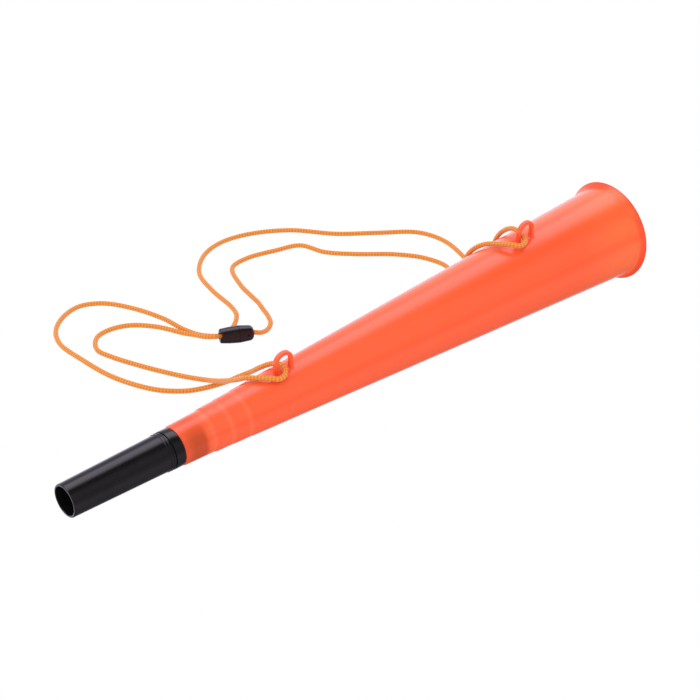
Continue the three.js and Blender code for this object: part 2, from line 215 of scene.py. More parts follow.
farRoute = [
    (0.1154, -0.004, 0.0523), (0.1153, -0.0047, 0.0522), (0.1147, -0.0062, 0.0518),
    (0.113, -0.008, 0.0514), (0.1105, -0.009, 0.0511), (0.1078, -0.0086, 0.051),
    (0.1052, -0.0068, 0.0515), (0.1035, -0.004, 0.0515), (0.1012, 0.0018, 0.0503),
    (0.0993, 0.0089, 0.0482), (0.0979, 0.0154, 0.044), (0.0974, 0.0206, 0.0383),
    (0.0972, 0.0242, 0.031), (0.0986, 0.0302, 0.011), (0.102, 0.0376, 0.003),
    (0.111, 0.051, 0.0014), (0.1251, 0.0667, 0.0014), (0.123, 0.0841, 0.0014),
    (0.113, 0.0992, 0.0014), (0.095, 0.1153, 0.0014), (0.0824, 0.1296, 0.0014),
    (0.0767, 0.1462, 0.0014), (0.0614, 0.1507, 0.0014), (0.0417, 0.1541, 0.0014),
    (0.0278, 0.1504, 0.0014), (0.0177, 0.1297, 0.0014), (0.0145, 0.1168, 0.0014),
    (0.0122, 0.1062, 0.0014), (0.0094, 0.0983, 0.0014), (0.0074, 0.0924, 0.0014),
    (0.0052, 0.0873, 0.0014), (0.0031, 0.0836, 0.0014), (-0.0002, 0.0802, 0.0014),
    (-0.0054, 0.077, 0.0019), (-0.0108, 0.0754, 0.0033),
]

# The safety clasp that joins the ends of the cord.
clasp = {
    "x": -0.024,
    "y": 0.0804,
    "turn": -27.5,
    "length": 0.0197,
    "seamRadius": 0.00495,
    "socketEndRadius": 0.0042,
    "plugEndRadius": 0.00445,
    "socketLength": 0.0111,
    "clearance": 0.0003,
    "holeRadius": 0.00175,
    "bore": 0.00285,
    "endWall": 0.002,
    "studRadius": 0.00255,
    "studLength": 0.004,
    "chamber": 0.0053,
    "dome": 0.003,
    "mouthEdge": 0.0013,
    "seam": 0.0001,
    "slotLength": 0.0018,
    "slotTurn": 56,
    "dimpleAt": 0.0063,
    "dimpleTurn": 80,
    "dimpleRadius": 0.0007,
    "coreRadius": 0.0004,
    "swell": 0.0001,
    "rounding": 0.00035,
    "mouthBevel": 0.00012,
    "bevelFrom": 50,
    "sharpFrom": 45,
    "slotSides": 64,
    "sides": 96,
}
claspPlace = (
    Matrix.Translation((clasp["x"], clasp["y"], clasp["seamRadius"]))
    @ Matrix.Rotation(math.radians(clasp["turn"]), 4, "Z")
)
claspHalf = clasp["length"] / 2
socketFloorAt = clasp["endWall"] - claspHalf
plugCeilingAt = claspHalf - clasp["endWall"]


def claspPoint(at):
    return claspPlace @ Vector((at, 0, 0))


# An even run of points on a smooth line through the given ones.
def smoothLine(points, step):
    spanSteps = 24
    points = [Vector(point) for point in points]
    ends = [points[0] * 2 - points[1]] + points + [points[-1] * 2 - points[-2]]
    dense = []
    for first, start, end, last in zip(ends, ends[1:], ends[2:], ends[3:]):
        before = math.sqrt((start - first).length)
        span = math.sqrt((end - start).length)
        after = math.sqrt((last - end).length)
        leave = (start - first) / before - (end - first) / (before + span) + (end - start) / span
        arrive = (end - start) / span - (last - start) / (span + after) + (last - end) / after
        for index in range(spanSteps):
            t = index / spanSteps
            dense.append(
                start * (2 * t**3 - 3 * t**2 + 1)
                + leave * span * (t**3 - 2 * t**2 + t)
                + end * (3 * t**2 - 2 * t**3)
                + arrive * span * (t**3 - t**2)
            )
    dense.append(points[-1])
    total = sum((b - a).length for a, b in zip(dense, dense[1:]))
    count = round(total / step)
    spacing = total / count
    even = [dense[0]]
    walked = 0
    wanted = spacing
    for a, b in zip(dense, dense[1:]):
        length = (b - a).length
        while wanted <= walked + length and len(even) < count:
            even.append(a.lerp(b, (wanted - walked) / length))
            wanted += spacing
        walked += length
    even.append(dense[-1])
    for point in even:
        point.z = max(point.z, cord["diameter"] / 2)
    return even, total


# Each point of a line with two directions across it, which turn no more than the line itself does.
def frames(line):
    befores = line[:1] + line[:-1]
    afters = line[1:] + line[-1:]
    tangents = [(after - before).normalized() for before, after in zip(befores, afters)]
    side = tangents[0].orthogonal().normalized()
    result = []
    for point, tangent in zip(line, tangents):
        side = (side - tangent * side.dot(tangent)).normalized()
        result.append((point, side, tangent.cross(side)))
    return result


# A braided cord: strands wind both ways and pass over and under each other. Its UV map runs along
# it in millimetres and once round it.
def braided(name, line, diameter, sides):
    strands = cord["strands"]
    radius = diameter / 2 / (1 + cord["depth"] / 2)
    points = []
    weave = []
    lengths = []
    walked = 0
    previous = line[0]
    for point, side, up in frames(line):
        walked += (point - previous).length
        previous = point
        lengths.append(walked)
        lay = math.tau * walked / cord["pitch"]
        for index in range(sides):
            turn = math.tau * index / sides
            bump = math.cos(strands * (turn + lay)) * math.cos(strands * (turn - lay))
            weave.append(bump)
            out = side * math.cos(turn) + up * math.sin(turn)
            points.append(point + out * radius * (1 + cord["depth"] * bump))
    faces = []
    for ring in range(len(line) - 1):
        low = ring * sides
        for index in range(sides):
            after = (index + 1) % sides
            faces.append([low + index, low + after, low + sides + after, low + sides + index])
    faces.append(list(range(sides))[::-1])
    faces.append(list(range(len(points) - sides, len(points))))
    thing = meshObject(name, points, faces)
    layer = thing.data.uv_layers.new(name="lay")
    for polygon in thing.data.polygons[: (len(line) - 1) * sides]:
        ring, index = divmod(polygon.index, sides)
        values = ((ring, index), (ring, index + 1), (ring + 1, index + 1), (ring + 1, index))
        for loop, (atRing, atSide) in zip(polygon.loop_indices, values):
            layer.data[loop].uv = (lengths[atRing] * 1000, atSide / sides)
    attribute = thing.data.attributes.new("weave", "FLOAT", "POINT")
    attribute.data.foreach_set("value", weave)
    return thing


socketKnot = claspPoint(socketFloorAt + clasp["clearance"] + cord["knotRadius"])
plugKnot = claspPoint(plugCeilingAt - clasp["clearance"] - cord["knotRadius"])
longPoints = [socketKnot, claspPoint(-claspHalf)] + nearRoute + betweenRoute
longLine, longLength = smoothLine(longPoints, cord["step"])
farPoints = farRoute + [claspPoint(claspHalf), plugKnot]
farLine, farLength = smoothLine(farPoints, cord["step"])

longCord = braided("neckCordLong", longLine, cord["diameter"], cord["sides"])
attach(longCord, "horn")
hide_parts("cord_near", "cord_between")

farCord = braided("neckCordFar", farLine, cord["diameter"], cord["sides"])
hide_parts("cord_far")
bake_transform(farCord)
print("cords done", round(longLength, 4), round(farLength, 4))


# A loose overhand knot, drawn up small, that keeps the cord's end in the clasp.
def knot(name, centre, body):
    line = []
    for index in range(cord["knotSteps"] + 1):
        t = math.tau * index / cord["knotSteps"]
        across = math.sin(t) + 2 * math.sin(2 * t)
        along = math.cos(t) - 2 * math.cos(2 * t)
        shape = Vector((across, along, -math.sin(3 * t)))
        line.append(centre + shape * cord["knotRadius"] * cord["knotSpread"])
    thing = braided(name, line, cord["knotRadius"] * cord["knotThread"], cord["knotSides"])
    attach(thing, body)
    return thing


knots = [knot("socketKnot", socketKnot, "horn"), knot("plugKnot", plugKnot, "clasp_plug")]

# The horn: one moulding with a stepped neck, a flared rim and two eyelets.
horn = {
    "length": 0.385,
    "neckAt": 0.0666,
    "neckRadius": 0.01095,
    "coneEndAt": 0.3809,
    "coneEndRadius": 0.0271,
    "rimRadius": 0.03,
    "rimEdge": 0.0007,
    "edge": 0.0003,
    "wall": 0.0015,
    "firstStepAt": 0.087,
    "stepPitch": 0.0112,
    "stepCount": 3,
    "ringTaper": 0.5,
    "lead": 0.0007,
    "socketDepth": 0.015,
    "socketRadius": 0.0096,
    "rounding": 0.00028,
    "sharpFrom": 32,
    "flareSteps": 16,
    "stretches": 8,
    "cadSides": 48,
    "sides": 192,
}
eyelet = {
    "places": (0.1371, 0.3119),
    "width": 0.0122,
    "height": 0.0128,
    "bar": 0.00225,
    "thickness": 0.0028,
    "root": 0.0008,
    "roll": -7.5,
    "round": 0.0007,
    "foot": 0.0011,
    "toe": 0.0004,
    "cornerSteps": 4,
    "filletSteps": 8,
    "archSteps": 16,
}
mouthpiece = {
    "tipRadius": 0.0091,
    "tipEdge": 0.0007,
    "endRadius": 0.0101,
    "bore": 0.0078,
    "ridgesAt": (0.0579, 0.0596),
    "ridgeWidth": 0.0007,
    "ridgeHeight": 0.00035,
    "collarLength": 0.0053,
    "collarRadius": 0.0105,
    "nippleLength": 0.011,
    "nippleRadius": 0.00845,
    "seatRadius": 0.0066,
    "seatDepth": 0.001,
    "shoulderRadius": 0.0052,
    "shoulderLength": 0.002,
    "spigotBore": 0.0076,
    "clearance": 0.0003,
    "tubeRounding": 0.0002,
    "holderRounding": 0.00035,
    "sharpFrom": 40,
    "cadSides": 36,
    "sides": 128,
}

# The horn lies on a flat of its rim and a flat of its mouthpiece, as the faceted solids do.
tipFlat = math.cos(math.pi / mouthpiece["cadSides"])
rimFlat = math.cos(math.pi / horn["cadSides"])
rimAt = horn["length"] - horn["rimEdge"]
rise = horn["rimRadius"] * rimFlat - mouthpiece["tipRadius"] * tipFlat
tilt = math.atan2(rise, rimAt - mouthpiece["tipEdge"])
rimEnd = (horn["rimRadius"] - horn["edge"]) * rimFlat
rimReach = horn["length"] * math.cos(tilt) + rimEnd * math.sin(tilt)
tipEnd = (mouthpiece["tipRadius"] - mouthpiece["tipEdge"]) * tipFlat
tipReach = tipEnd * math.sin(tilt)
tipDrop = mouthpiece["tipEdge"] * math.sin(tilt)
tipHeight = mouthpiece["tipRadius"] * tipFlat * math.cos(tilt) - tipDrop
tipPlace = Matrix.Translation(((tipReach - rimReach) / 2, 0, tipHeight))
hornPlace = tipPlace @ Matrix.Rotation(-tilt, 4, "Y")
coneLength = horn["coneEndAt"] - horn["neckAt"]
coneSlope = (horn["coneEndRadius"] - horn["neckRadius"]) / coneLength


def coneRadius(at):
    return horn["neckRadius"] + coneSlope * (at - horn["neckAt"])


# The flare, as (place, radius) pairs.
def flare():
    points = []
    for step in range(horn["flareSteps"] + 1):
        share = step / horn["flareSteps"]
        at = horn["coneEndAt"] + (rimAt - horn["coneEndAt"]) * share
        points.append((at, coneRadius(at) + (horn["rimRadius"] - coneRadius(rimAt)) * share**1.5))
    return points


def hornOutline():
    lead = horn["lead"]
    stretches = horn["stretches"]
    start = horn["neckAt"]
    outer = [(start, coneRadius(start) - horn["edge"] * 1.5)]
    for step in range(horn["stepCount"]):
        end = horn["firstStepAt"] + horn["stepPitch"] * step
        radius = coneRadius(start)
        low = radius + (coneRadius(end) - radius) * horn["ringTaper"]
        firstLead = lead * 2 if step == 0 else lead
        outer += [(start + firstLead, radius), (end - lead, low)]
        start = end
    outer.append((start + lead, coneRadius(start)))
    reach = eyelet["width"] / 2 + eyelet["foot"] + eyelet["toe"]
    rest = horn["coneEndAt"] - start
    stops = [start + rest * step / stretches for step in range(1, stretches)]
    stops += [at + side * reach for at in eyelet["places"] for side in (-1, 1)]
    outer += [(at, coneRadius(at)) for at in sorted(stops)]
    outer += flare()
    outer.append((horn["length"], horn["rimRadius"] - horn["edge"]))
    inner = [(horn["length"], horn["rimRadius"] - horn["wall"] - horn["edge"] / 2)]
    inner += [(at, radius - horn["wall"]) for at, radius in reversed(flare())]
    socketEnd = horn["neckAt"] + horn["socketDepth"]
    boreStart = socketEnd + horn["wall"]
    inner += [
        (boreStart, coneRadius(boreStart) - horn["wall"] - horn["edge"]),
        (socketEnd, horn["socketRadius"]),
        (horn["neckAt"], horn["socketRadius"]),
    ]
    return rounded(outer + inner, horn["rounding"])


# One eyelet's arch. Its foot is inset step by step into a fillet, and its leg is pulled up, spun to
# the top and mirrored.
def eyeletArch(at):
    half = (eyelet["width"] - eyelet["bar"]) / 2
    spring = eyelet["height"] - eyelet["width"] / 2
    foot = eyelet["foot"]
    steps = eyelet["filletSteps"]
    footSize = (eyelet["bar"] + foot * 2, eyelet["thickness"] + foot * 2, 1)
    corner = eyelet["round"] + foot
    bpy.ops.mesh.primitive_plane_add(size=1, location=(0, 0, 0))
    thing = bpy.context.object
    bpy.ops.object.mode_set(mode="EDIT")
    bpy.ops.transform.resize(value=footSize)
    bpy.ops.transform.translate(value=(-half, 0, -eyelet["root"]))
    bpy.ops.mesh.bevel(offset=corner, segments=eyelet["cornerSteps"], affect="VERTICES")
    bpy.ops.mesh.select_all(action="SELECT")
    bpy.ops.mesh.extrude_region_move(TRANSFORM_OT_translate={"value": (0, 0, eyelet["root"])})
    heights = [foot * (step / steps) ** 2 for step in range(steps + 1)]
    widths = [foot - math.sqrt(foot**2 - (foot - height) ** 2) for height in heights]
    for step in range(steps):
        inward = widths[step] - widths[step + 1]
        bpy.ops.mesh.inset(thickness=inward, depth=heights[step + 1] - heights[step])
    bpy.ops.mesh.extrude_region_move(TRANSFORM_OT_translate={"value": (0, 0, spring - foot)})
    top = (0, 0, spring)
    bpy.ops.mesh.spin(steps=eyelet["archSteps"], angle=-math.pi / 2, center=top, axis=(0, 1, 0))
    bpy.ops.mesh.delete(type="FACE")
    bpy.ops.object.mode_set(mode="OBJECT")
    for vertex in thing.data.vertices:  # the foot follows the round of the cone
        share = 1 - min(max(vertex.co.z, 0), foot) / foot
        sink = coneRadius(at) - math.sqrt(coneRadius(at) ** 2 - vertex.co.y ** 2)
        vertex.co.z -= sink * share
    applied(thing, "MIRROR", merge_threshold=mergeDistance)
    bpy.ops.object.mode_set(mode="EDIT")
    bpy.ops.mesh.select_all(action="SELECT")
    bpy.ops.mesh.normals_make_consistent(inside=False)
    bpy.ops.object.mode_set(mode="OBJECT")
    place = (
        hornPlace
        @ Matrix.Rotation(math.radians(-eyelet["roll"]), 4, "X")
        @ Matrix.Translation((at, 0, coneRadius(at)))
        @ Matrix.Rotation(-math.atan(coneSlope), 4, "Y")
    )
    return placed(thing, place)


def makeHorn():
    thing = turned("hornShell", hornOutline(), horn["sides"], hornPlace)
    for at in eyelet["places"]:
        combined(thing, eyeletArch(at), "UNION")
    sharpOver(thing, horn["sharpFrom"])
    applied(thing, "WEIGHTED_NORMAL", weight=80, keep_sharp=True)
    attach(thing, "horn")
    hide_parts("horn_cone")
    return thing


hornShell = makeHorn()
print("horn done", len(hornShell.data.polygons))

# The black mouthpiece.
collarEnd = horn["neckAt"] - mouthpiece["clearance"]
collarStart = collarEnd - mouthpiece["collarLength"]
tubeEnd = collarStart - mouthpiece["clearance"]
nippleStart = collarStart - mouthpiece["nippleLength"]
seatEnd = collarStart + mouthpiece["seatDepth"]
shoulderEnd = seatEnd + mouthpiece["shoulderLength"]


def tubeRadius(at):
    share = (at - mouthpiece["tipEdge"]) / (tubeEnd - mouthpiece["tipEdge"])
    return mouthpiece["tipRadius"] + (mouthpiece["endRadius"] - mouthpiece["tipRadius"]) * share


def makeTube():
    edge = mouthpiece["tipEdge"]
    outline = []
    for turn in reversed(quarterTurn(6)):
        radius = mouthpiece["tipRadius"] - edge * (1 - math.cos(turn))
        outline.append((edge * (1 - math.sin(turn)), radius))
    for at in mouthpiece["ridgesAt"]:
        start = at - mouthpiece["ridgeWidth"] / 2
        end = at + mouthpiece["ridgeWidth"] / 2
        top = tubeRadius(at) + mouthpiece["ridgeHeight"]
        outline += [(start, tubeRadius(start)), (start + edge / 4, top)]
        outline += [(end - edge / 4, top), (end, tubeRadius(end))]
    seat = mouthpiece["nippleRadius"] + mouthpiece["clearance"]
    outline += [(tubeEnd, mouthpiece["endRadius"]), (tubeEnd, seat), (nippleStart, seat)]
    outline += [(edge / 2, mouthpiece["bore"]), (0, mouthpiece["bore"] + edge / 4)]
    outline = rounded(outline, mouthpiece["tubeRounding"])
    thing = turned("blowingTube", outline, mouthpiece["sides"], hornPlace)
    sharpOver(thing, mouthpiece["sharpFrom"])
    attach(thing, "mouthpiece")
    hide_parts("mouthpiece_tube")
    return thing


def makeHolder():
    spigotEnd = horn["neckAt"] + horn["socketDepth"] - mouthpiece["clearance"] * 3
    spigotRadius = horn["socketRadius"] - mouthpiece["clearance"]
    nipple = mouthpiece["nippleRadius"]
    outline = [
        (nippleStart + mouthpiece["clearance"], nipple),
        (collarStart, nipple),
        (collarStart, mouthpiece["collarRadius"]),
        (collarEnd, mouthpiece["collarRadius"]),
        (collarEnd, spigotRadius),
        (spigotEnd, spigotRadius),
        (spigotEnd, mouthpiece["spigotBore"]),
        (shoulderEnd, mouthpiece["spigotBore"]),
        (shoulderEnd, mouthpiece["shoulderRadius"]),
        (seatEnd, mouthpiece["shoulderRadius"]),
        (seatEnd, mouthpiece["seatRadius"]),
        (nippleStart + mouthpiece["clearance"], mouthpiece["seatRadius"]),
    ]
    outline = rounded(outline, mouthpiece["holderRounding"])
    thing = turned("reedHolder", outline, mouthpiece["sides"], hornPlace)
    sharpOver(thing, mouthpiece["sharpFrom"])
    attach(thing, "mouthpiece")
    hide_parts("reed_holder")
    return thing


tube = makeTube()
holder = makeHolder()
print("mouthpiece done")

# The clasp: a socket half and a plug half, gloss black.
seamAt = clasp["socketLength"] - claspHalf + clasp["clearance"] / 2
plugAt = seamAt + clasp["seam"]


def makeSocketHalf():
    waist = (clasp["socketEndRadius"] + clasp["seamRadius"] * 2) / 3
    edge = clasp["mouthEdge"]
    outline = []
    for turn in quarterTurn(6):
        radius = clasp["socketEndRadius"] - edge * (1 - math.sin(turn))
        outline.append((edge * (1 - math.cos(turn)) - claspHalf, radius))
    outline += [
        ((seamAt - claspHalf) / 2, waist),
        (seamAt - clasp["seam"] * 2, clasp["seamRadius"]),
        (seamAt, clasp["seamRadius"]),
        (seamAt, clasp["bore"]),
        (socketFloorAt, clasp["bore"]),
        (socketFloorAt, clasp["holeRadius"]),
        (-claspHalf, clasp["holeRadius"]),
    ]
    thing = turned("claspSocket", rounded(outline, clasp["rounding"]), clasp["sides"], claspPlace)
    depth = clasp["seamRadius"] * 1.5
    bpy.ops.mesh.primitive_cylinder_add(
        vertices=clasp["slotSides"],
        radius=clasp["holeRadius"],
        depth=depth,
        location=(0, 0, depth / 2),
    )
    cutter = bpy.context.object
    bpy.ops.object.transform_apply(location=True)
    bpy.ops.object.mode_set(mode="EDIT")  # half the round is pulled out past the clasp's end
    bpy.ops.mesh.select_all(action="DESELECT")
    bpy.ops.object.mode_set(mode="OBJECT")
    for vertex in cutter.data.vertices:
        vertex.select = vertex.co.x < -clasp["holeRadius"] / clasp["slotSides"]
    bpy.ops.object.mode_set(mode="EDIT")
    bpy.ops.transform.translate(value=(-claspHalf, 0, 0))
    bpy.ops.object.mode_set(mode="OBJECT")
    slotTurn = Matrix.Rotation(math.radians(clasp["slotTurn"]), 4, "X")
    slotStart = clasp["slotLength"] - clasp["holeRadius"] - claspHalf
    placed(cutter, claspPlace @ slotTurn @ Matrix.Translation((slotStart, 0, 0)))
    combined(thing, cutter, "DIFFERENCE")
    applied(
        thing,
        "BEVEL",
        width=clasp["mouthBevel"],
        segments=2,
        limit_method="ANGLE",
        angle_limit=math.radians(clasp["bevelFrom"]),
    )
    sharpOver(thing, clasp["sharpFrom"])
    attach(thing, "horn")
    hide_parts("clasp_socket_half")
    return thing


def makePlugHalf():
    domeStart = claspHalf - clasp["dome"]
    domeRise = clasp["plugEndRadius"] - clasp["holeRadius"]
    outline = [
        (plugAt - clasp["studLength"], clasp["coreRadius"]),
        (plugAt - clasp["studLength"], clasp["studRadius"]),
        (plugAt, clasp["studRadius"]),
        (plugAt, clasp["seamRadius"]),
        (plugAt + clasp["seam"] * 2, clasp["seamRadius"]),
        (claspHalf - clasp["dome"] * 1.4, clasp["plugEndRadius"] + clasp["swell"]),
    ]
    for turn in quarterTurn(8):
        radius = clasp["holeRadius"] + domeRise * math.cos(turn)
        outline.append((domeStart + clasp["dome"] * math.sin(turn), radius))
    outline += [
        (plugCeilingAt, clasp["holeRadius"]),
        (plugCeilingAt, clasp["bore"]),
        (plugCeilingAt - clasp["chamber"], clasp["bore"]),
        (plugCeilingAt - clasp["chamber"], clasp["coreRadius"]),
    ]
    thing = turned("claspPlug", rounded(outline, clasp["rounding"]), clasp["sides"], claspPlace)
    bpy.ops.mesh.primitive_uv_sphere_add(segments=24, ring_count=12, radius=clasp["dimpleRadius"])
    ball = bpy.context.object
    dimpleTurn = Matrix.Rotation(math.radians(clasp["dimpleTurn"]), 4, "X")
    dimpleMove = Matrix.Translation((clasp["dimpleAt"], 0, clasp["plugEndRadius"]))
    ball.matrix_world = claspPlace @ dimpleTurn @ dimpleMove
    combined(thing, ball, "DIFFERENCE")
    sharpOver(thing, clasp["sharpFrom"])
    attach(thing, "clasp_plug")
    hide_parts("clasp_plug_half")
    return thing


claspSocket = makeSocketHalf()
claspPlug = makePlugHalf()
print("clasp done")


# Materials.
def nodeMaterial(name):
    material = bpy.data.materials.new(name)
    material.use_nodes = True
    return material, material.node_tree, material.node_tree.nodes["Principled BSDF"]


def isSocket(value):
    return isinstance(value, bpy.types.NodeSocket)


# A new node, its settings by name, and its inputs linked or filled in.
def node(tree, kind, inputs=None, **settings):
    made = tree.nodes.new(kind)
    for key, value in settings.items():
        setattr(made, key, value)
    for key, value in (inputs or {}).items():
        if isSocket(value):
            tree.links.new(value, made.inputs[key])
        else:
            made.inputs[key].default_value = value
    return made


def worked(tree, operation, *values):
    made = node(tree, "ShaderNodeMath", dict(enumerate(values)), operation=operation)
    return made.outputs["Value"]


def times(tree, first, second):
    return worked(tree, "MULTIPLY", first, second)


# A smooth step from one value to another between two places.
def stepped(tree, value, start, end, low=0.0, high=1.0):
    inputs = {"Value": value, "From Min": start, "From Max": end, "To Min": low, "To Max": high}
    made = node(tree, "ShaderNodeMapRange", inputs, interpolation_type="SMOOTHSTEP")
    return made.outputs["Result"]


# One at a place, or on a flat round it, and zero a half width away on both sides.
def streak(tree, value, place, halfWidth, flat=0.0):
    away = worked(tree, "ABSOLUTE", worked(tree, "SUBTRACT", value, place))
    return stepped(tree, away, flat, halfWidth, 1.0, 0.0)


def mixedValue(tree, factor, first, second):
    inputs = {"Factor": factor, "A": first, "B": second}
    return node(tree, "ShaderNodeMix", inputs, data_type="FLOAT").outputs["Result"]


def blended(tree, factor, first, second):
    first, second = [color if isSocket(color) else (*color, 1) for color in (first, second)]
    inputs = {"Factor": factor, "A": first, "B": second}
    return node(tree, "ShaderNodeMix", inputs, data_type="RGBA").outputs["Result"]


def noise(tree, vector, scale, detail):
    inputs = {"Vector": vector, "Scale": scale, "Detail": detail}
    return node(tree, "ShaderNodeTexNoise", inputs).outputs["Fac"]


def bumped(tree, height, strength, distance, normal=None):
    inputs = {"Height": height, "Strength": strength, "Distance": distance}
    if normal:
        inputs["Normal"] = normal
    return node(tree, "ShaderNodeBump", inputs).outputs["Normal"]


def ramp(tree, factor, stops):
    made = node(tree, "ShaderNodeValToRGB", {"Fac": factor})
    elements = made.color_ramp.elements
    while len(elements) > 1:
        elements.remove(elements[-1])
    elements[0].position = stops[0][0]
    elements[0].color = (*stops[0][1], 1)
    for position, color in stops[1:]:
        elements.new(position).color = (*color, 1)
    return made.outputs["Color"]


# Places are metres from the mouthpiece's end, and turns radians from the top, below zero in front.
orangePlastic = {
    "color": (1.0, 0.128, 0.042),
    "deep": (0.99, 0.11, 0.03),
    "flowAlong": 9.0,
    "flowAround": 6.0,
    # Painted light: the colour grows lighter toward the bell, a glow for light coming in at its
    # open end.
    "paintedBellGlow": {"color": (1.0, 0.16, 0.042), "from": 0.33},
    # Painted highlight: a pale band along the top of the cone.
    "top": {
        "color": (1.0, 0.235, 0.13),
        "from": 0.1,
        "to": 0.37,
        "atNeck": 0.25,
        "turn": 0.265,
        "flat": 0.05,
        "halfWidth": 0.33,
        "endsBefore": (0.0018, 0.0002),  # before the end of the cone
        "offCone": (0.0005, 0.0011),  # the eyelets stand further off
    },
    "frontStreak": {"turn": -1.31, "halfWidth": 0.2, "strength": 0.4},
    "bellStreak": {"turn": -0.66, "halfWidth": 0.36, "strength": 0.42, "from": 0.2, "to": 0.3},
    "streak": (1.0, 0.085, 0.018),
    # Painted shade: the lip's redder colour, less on top and pale in front where the lip catches
    # the light.
    "lipShade": {
        "color": (0.93, 0.066, 0.018),
        "before": 0.0006,  # before and after the end of the cone
        "after": 0.0012,
        "sideTurns": (-0.75, -1.15),
        "laterAtSide": 0.0008,
        "underTurns": (-1.3, -2.1),
        "topStrength": 0.68,
        "paleTurn": -0.45,
        "paleFlat": 0.28,
        "paleHalfWidth": 0.55,
        "paleEdge": 0.0012,
        "paleStrength": 0.5,
    },
    "rimLine": {
        "color": (0.74, 0.05, 0.016),
        "before": 0.0005,  # before and after the rim's edge
        "after": 0.0002,
        "strength": 0.8,
    },
    "stepGlow": {
        "color": (1.0, 0.25, 0.105),
        "shift": -0.0027,
        "halfWidth": 0.0024,
        "strength": 0.22,
    },
    "stepShade": {
        "color": (0.98, 0.105, 0.034),
        "shift": 0.0002,
        "halfWidth": 0.0018,
        "strength": 0.35,
    },
    # Painted shade of the spigot seen through the neck's wall.
    "spigot": {
        "color": (0.5, 0.055, 0.006),
        "fade": (0.0781, 0.0821),
        "strength": 0.84,
        "neckFade": 0.0065,
        "neckStrength": 0.55,
        "seenTurns": (-1.05, -0.4),
        "topStrength": 0.42,
    },
    "roughness": (0.16, 0.25),
    "cloudScale": 55.0,
    "ripple": (0.04, 0.001),
    "grainScale": 900.0,
    "grain": (0.03, 0.0002),
    "refraction": 1.55,
    "translucent": 0.1,
}


# A painted glow toward the bell, a painted highlight as a pale band along the top, on the cone
# alone, and the two darker streaks in front.
def bodyTones(tree, color, at, around, radius):
    paintedBellGlow, top = orangePlastic["paintedBellGlow"], orangePlastic["top"]
    front, wide = orangePlastic["frontStreak"], orangePlastic["bellStreak"]
    glow = stepped(tree, at, paintedBellGlow["from"], horn["coneEndAt"])
    color = blended(tree, glow, color, paintedBellGlow["color"])
    # The pale band along the top is a painted highlight.
    onTop = streak(tree, around, top["turn"], top["halfWidth"], top["flat"])
    further = stepped(tree, at, top["from"], top["to"], top["atNeck"], 1.0)
    start, end = [horn["coneEndAt"] - before for before in top["endsBefore"]]
    beforeLip = stepped(tree, at, start, end, 1.0, 0.0)
    coneHere = worked(tree, "MULTIPLY_ADD", at, coneSlope, coneRadius(0.0))
    standing = worked(tree, "SUBTRACT", radius, coneHere)
    flat, off = top["offCone"]
    onCone = streak(tree, standing, 0.0, off, flat)
    paintedHighlight = times(tree, times(tree, onTop, further), times(tree, beforeLip, onCone))
    color = blended(tree, paintedHighlight, color, top["color"])
    narrow = streak(tree, around, front["turn"], front["halfWidth"])
    narrow = times(tree, narrow, front["strength"])
    color = blended(tree, narrow, color, orangePlastic["streak"])
    broad = streak(tree, around, wide["turn"], wide["halfWidth"])
    towardBell = stepped(tree, at, wide["from"], wide["to"], 0.0, wide["strength"])
    return blended(tree, times(tree, broad, towardBell), color, orangePlastic["streak"])


# Painted shade on the lip of the bell, redder and strongest underneath, but for a pale stretch in
# front where the lit lip is shaded only at its edge, and the thin dark line of its edge.
def lipTones(tree, color, at, around):
    lipShade, line = orangePlastic["lipShade"], orangePlastic["rimLine"]
    start = horn["coneEndAt"] - lipShade["before"]
    end = horn["coneEndAt"] + lipShade["after"]
    later = stepped(tree, around, *lipShade["sideTurns"], 0.0, -lipShade["laterAtSide"])
    onLip = stepped(tree, worked(tree, "ADD", at, later), start, end)
    underneath = stepped(tree, around, *lipShade["underTurns"], lipShade["topStrength"], 1.0)
    pale = streak(tree, around, lipShade["paleTurn"], lipShade["paleHalfWidth"], lipShade["paleFlat"])
    edge = times(tree, stepped(tree, at, rimAt - lipShade["paleEdge"], rimAt), lipShade["paleStrength"])
    shade = mixedValue(tree, pale, times(tree, onLip, underneath), edge)
    color = blended(tree, shade, color, lipShade["color"])
    onLine = stepped(tree, at, rimAt - line["before"], rimAt + line["after"], 0.0, line["strength"])
    return blended(tree, onLine, color, line["color"])


# A lighter ring before each step of the neck, and a darker one after it.
def stepTones(tree, color, at):
    for step in range(horn["stepCount"]):
        stepAt = horn["firstStepAt"] + horn["stepPitch"] * step
        for tone in (orangePlastic["stepGlow"], orangePlastic["stepShade"]):
            ring = streak(tree, at, stepAt + tone["shift"], tone["halfWidth"])
            color = blended(tree, times(tree, ring, tone["strength"]), color, tone["color"])
    return color


# Painted shade: the neck darkens where the black spigot inside holds back the light through the
# translucent wall, most from the front.
def spigotTone(tree, color, at, around):
    spigot = orangePlastic["spigot"]
    neckEnd = horn["neckAt"] + spigot["neckFade"]
    until = stepped(tree, at, *spigot["fade"], spigot["strength"], 0.0)
    nearNeck = stepped(tree, at, horn["neckAt"], neckEnd, spigot["neckStrength"], 1.0)
    inFront = stepped(tree, around, *spigot["seenTurns"], 1.0, spigot["topStrength"])
    shade = times(tree, times(tree, until, nearNeck), inFront)
    return blended(tree, shade, color, spigot["color"])


